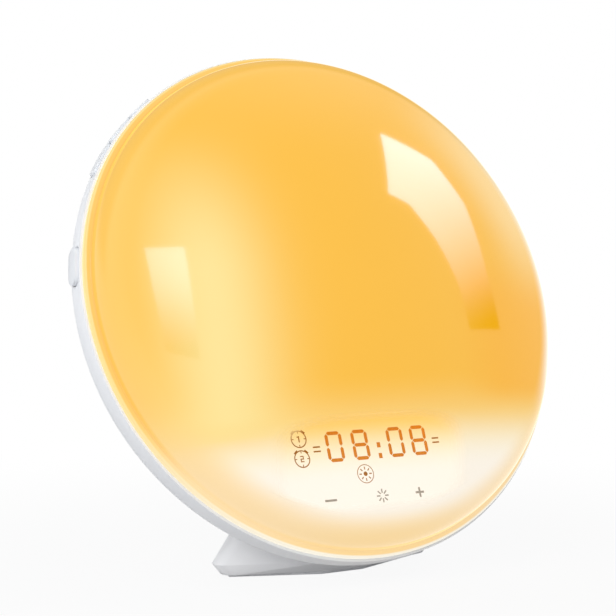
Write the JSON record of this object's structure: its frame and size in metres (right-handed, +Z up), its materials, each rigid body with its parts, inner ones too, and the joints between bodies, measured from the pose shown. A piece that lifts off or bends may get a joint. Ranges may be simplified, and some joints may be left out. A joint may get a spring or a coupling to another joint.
{
  "type": "sunrise alarm clock",
  "caption": "Wake-up light: a tilted round disc with a domed glowing lens, LED time display, touch marks and rim keys, standing on a flared pedestal foot.",
  "frame": {"origin": "middle of the underside of the foot pad, on the table", "axes": "+Z up, -Y towards the user in front of the disc, +X to the right as seen from the front"},
  "size_m": [0.1765, 0.0942, 0.1717],
  "materials": {
    "lens": "opal acrylic lens, lit warm amber from inside",
    "shell": "satin white moulded ABS",
    "pan": "matt white reflector plastic",
    "foot": "satin white moulded ABS",
    "pad": "pale grey soft rubber",
    "keys": "satin light grey ABS",
    "segments": "orange diffuser, lit",
    "icons": "orange-brown diffuser, lit",
    "marks": "grey-brown printing",
    "overlay": "thin translucent film",
    "white_board": "white solder mask on aluminium-backed board",
    "green_board": "green solder mask on glass-epoxy board",
    "led_warm": "yellow phosphor LED package",
    "led_colour": "clear LED package",
    "steel": "zinc-plated steel",
    "spring": "plated spring wire",
    "black_plastic": "black moulded plastic",
    "can": "sleeved electrolytic can",
    "socket": "natural nylon",
    "speaker_metal": "grey painted pressed steel",
    "foam": "black closed-cell foam",
    "cone_paper": "coated paper cone",
    "copper": "enamelled copper winding",
    "cell": "nickel-plated steel can",
    "wire_red": "red PVC insulation",
    "wire_black": "black PVC insulation",
    "wire_blue": "blue PVC insulation",
    "wire_grey": "grey PVC insulation"
  },
  "bodies": {
    "case": {"front_lens": "lens", "rear_shell": "shell", "speaker_grille": "shell", "reflector_pan": "pan", "display_tower": "pan", "led_board": "white_board", "led_chips_warm": "led_warm", "led_chips_colour": "led_colour", "led_board_screws": "steel", "pan_screws": "steel", "display_overlay": "overlay", "display_housing": "pan", "digit_segments": "segments", "icon_inserts": "icons", "touch_marks": "marks", "display_leds": "led_warm", "display_board": "green_board", "display_screws": "steel", "touch_springs": "spring", "main_board": "green_board", "main_board_screws": "steel", "ic_packages": "black_plastic", "capacitors": "can", "board_sockets": "socket", "speaker_frame": "speaker_metal", "speaker_magnet": "speaker_metal", "speaker_gasket": "foam", "speaker_screws": "steel", "dc_jack_body": "black_plastic", "dc_jack_pin": "steel", "key_boards": "green_board", "key_board_screws": "steel", "switch_bodies": "black_plastic", "cell_contacts": "spring", "coin_cell": "cell", "foot_shell": "foot", "foot_base": "foot", "foot_pad": "pad", "foot_screws": "steel", "neck_screws": "steel", "led_leads": "wire_red", "speaker_leads": "wire_black", "key_leads": "wire_blue", "display_leads": "wire_grey"},
    "light_key": {"key_light": "keys", "plunger_light": "black_plastic"},
    "alarm_one_key": {"key_alarm_one": "keys", "plunger_alarm_one": "black_plastic"},
    "alarm_two_key": {"key_alarm_two": "keys", "plunger_alarm_two": "black_plastic"},
    "clock_key": {"key_clock": "keys", "plunger_clock": "black_plastic"},
    "cone": {"speaker_cone": "cone_paper", "voice_coil": "copper"},
    "battery_cover": {"battery_door": "shell"}
  },
  "joints": [
    {"name": "light_key_press", "type": "slide", "parent": "case", "child": "light_key", "axis": [0.9885, -0.0542, -0.1412], "range_m": [0, 0.0005], "stiffness_N_per_m": 1500},
    {"name": "alarm_one_key_press", "type": "slide", "parent": "case", "child": "alarm_one_key", "axis": [0.7524, -0.2361, -0.6149], "range_m": [0, 0.0005], "stiffness_N_per_m": 1500},
    {"name": "alarm_two_key_press", "type": "slide", "parent": "case", "child": "alarm_two_key", "axis": [0.7524, -0.2361, -0.6149], "range_m": [0, 0.0005], "stiffness_N_per_m": 1500},
    {"name": "clock_key_press", "type": "slide", "parent": "case", "child": "clock_key", "axis": [0.7524, -0.2361, -0.6149], "range_m": [0, 0.0005], "stiffness_N_per_m": 1500},
    {"name": "cone_travel", "type": "slide", "parent": "case", "child": "cone", "axis": [0, -0.9336, 0.3584], "range_m": [-0.0005, 0.0005], "stiffness_N_per_m": 1200},
    {"name": "battery_cover_lift", "type": "slide", "parent": "case", "child": "battery_cover", "axis": [0, 0.9336, -0.3584], "range_m": [0, 0.02]}
  ]
}
